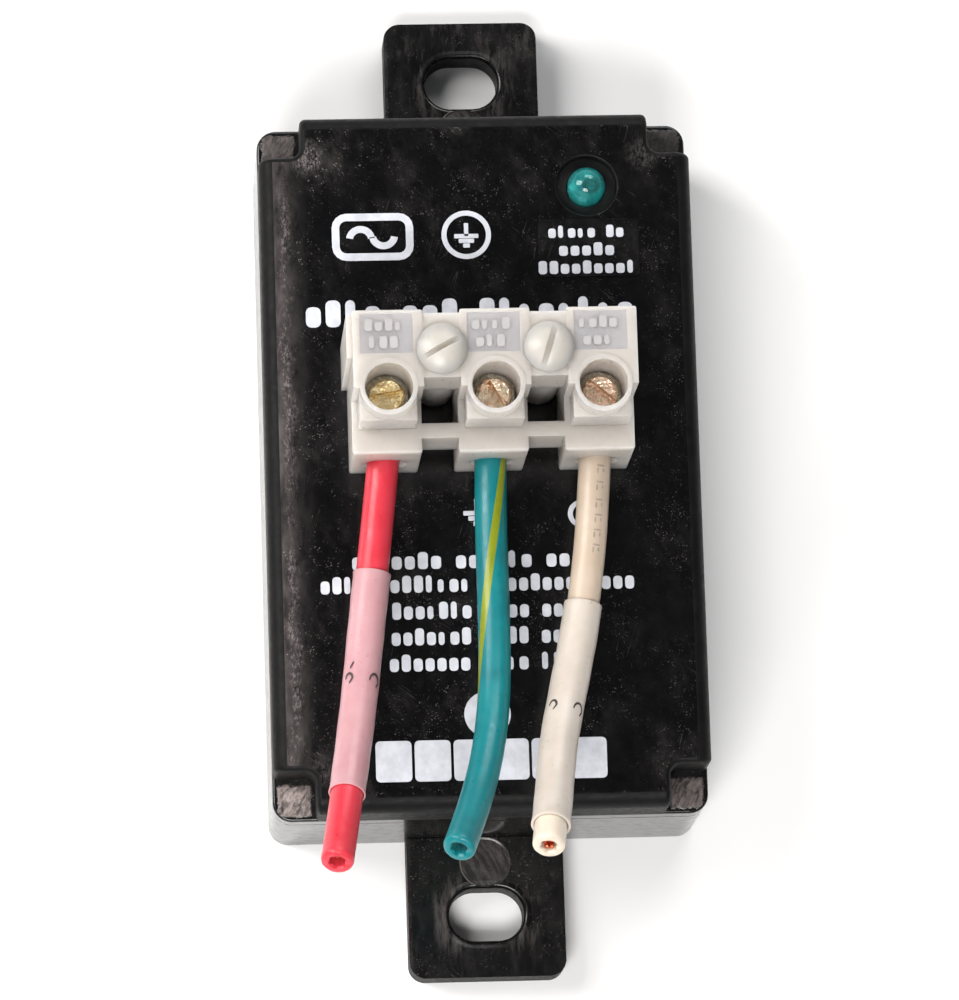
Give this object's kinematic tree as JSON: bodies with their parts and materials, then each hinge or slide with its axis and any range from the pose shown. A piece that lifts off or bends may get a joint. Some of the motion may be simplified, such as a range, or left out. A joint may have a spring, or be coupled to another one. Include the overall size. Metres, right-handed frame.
{
  "type": "surge protective device",
  "caption": "Panel surge protector: black moulded case with slotted tabs, screw terminal block, indicator lamp and short stripped-ready wires.",
  "frame": {"origin": "centre of the case's flat back face, on the surface it lies on or is screwed to", "axes": "+Z out of the front through the terminal screws, +Y along the case towards the lamp end, +X to the lamp's side"},
  "size_m": [0.034, 0.0778, 0.0315],
  "materials": {
    "case_black": "glossy moulded thermoplastic, lightly scratched",
    "label_film": "smooth black film with white print",
    "lens_green": "clear tinted epoxy",
    "terminal_nylon": "milky natural nylon, satin",
    "fixing_nylon": "milky natural nylon, satin",
    "plated_brass": "nickel-plated brass",
    "screw_brass": "machined, slightly tarnished",
    "spring_bronze": "rolled strip",
    "copper": "drawn copper strands",
    "tinned_lead": "dull tin",
    "zinc_steel": "zinc plated",
    "board_laminate": "glass-epoxy laminate with solder mask",
    "varistor_coating": "dipped epoxy",
    "fuse_ceramic": "glazed ceramic",
    "cutoff_coating": "epoxy-sealed case",
    "resistor_coating": "dipped coating",
    "diode_moulding": "moulded epoxy",
    "wire_red": "extruded PVC",
    "wire_green": "extruded PVC with a yellow-green stripe",
    "wire_cream": "extruded PVC",
    "sleeve_pink": "soft marking sleeve",
    "sleeve_white": "soft marking sleeve"
  },
  "bodies": {
    "enclosure": {"block_fixing_screws": "fixing_nylon", "board_screws": "zinc_steel", "circuit_board": "board_laminate", "clamp_cage_ground": "plated_brass", "clamp_cage_line": "plated_brass", "clamp_cage_neutral": "plated_brass", "component_legs": "tinned_lead", "front_cover": "case_black", "indicator_diode": "diode_moulding", "indicator_legs": "tinned_lead", "indicator_lens": "lens_green", "indicator_resistor": "resistor_coating", "internal_lead_ground": "tinned_lead", "internal_lead_line": "tinned_lead", "internal_lead_neutral": "tinned_lead", "line_fuse": "fuse_ceramic", "rear_housing": "case_black", "status_label": "label_film", "terminal_block_body": "terminal_nylon", "thermal_cutoff_line": "cutoff_coating", "thermal_cutoff_neutral": "cutoff_coating", "varistor_legs": "tinned_lead", "varistor_line_ground": "varistor_coating", "varistor_line_neutral": "varistor_coating", "varistor_neutral_ground": "varistor_coating", "wire_conductor_ground": "copper", "wire_conductor_line": "copper", "wire_conductor_neutral": "copper", "wire_insulation_ground": "wire_green", "wire_insulation_line": "wire_red", "wire_insulation_neutral": "wire_cream", "wire_sleeve_line": "sleeve_pink", "wire_sleeve_neutral": "sleeve_white"},
    "guard_line": {"wire_guard_line": "spring_bronze"},
    "guard_ground": {"wire_guard_ground": "spring_bronze"},
    "guard_neutral": {"wire_guard_neutral": "spring_bronze"},
    "screw_line": {"clamp_screw_line": "screw_brass"},
    "screw_ground": {"clamp_screw_ground": "screw_brass"},
    "screw_neutral": {"clamp_screw_neutral": "screw_brass"}
  },
  "joints": [
    {"name": "guard_line_slide", "type": "slide", "parent": "enclosure", "child": "guard_line", "axis": [0, 0, 1], "range_m": [0, 0.0018]},
    {"name": "screw_line_turn", "type": "hinge", "parent": "guard_line", "child": "screw_line", "pos_m": [-0.00788, 0.003, 0.0249], "axis": [0, 0, 1], "range_deg": [0, 1441]},
    {"name": "guard_ground_slide", "type": "slide", "parent": "enclosure", "child": "guard_ground", "axis": [0, 0, 1], "range_m": [0, 0.0018]},
    {"name": "screw_ground_turn", "type": "hinge", "parent": "guard_ground", "child": "screw_ground", "pos_m": [0.0003, 0.003, 0.0249], "axis": [0, 0, 1], "range_deg": [0, 1441]},
    {"name": "guard_neutral_slide", "type": "slide", "parent": "enclosure", "child": "guard_neutral", "axis": [0, 0, 1], "range_m": [0, 0.0018]},
    {"name": "screw_neutral_turn", "type": "hinge", "parent": "guard_neutral", "child": "screw_neutral", "pos_m": [0.00848, 0.003, 0.0249], "axis": [0, 0, 1], "range_deg": [0, 1441]}
  ],
  "couplings": [
    {"joint": "screw_line_turn", "follows": "guard_line_slide", "rad_per_m": 13963},
    {"joint": "screw_ground_turn", "follows": "guard_ground_slide", "rad_per_m": 13963},
    {"joint": "screw_neutral_turn", "follows": "guard_neutral_slide", "rad_per_m": 13963}
  ]
}
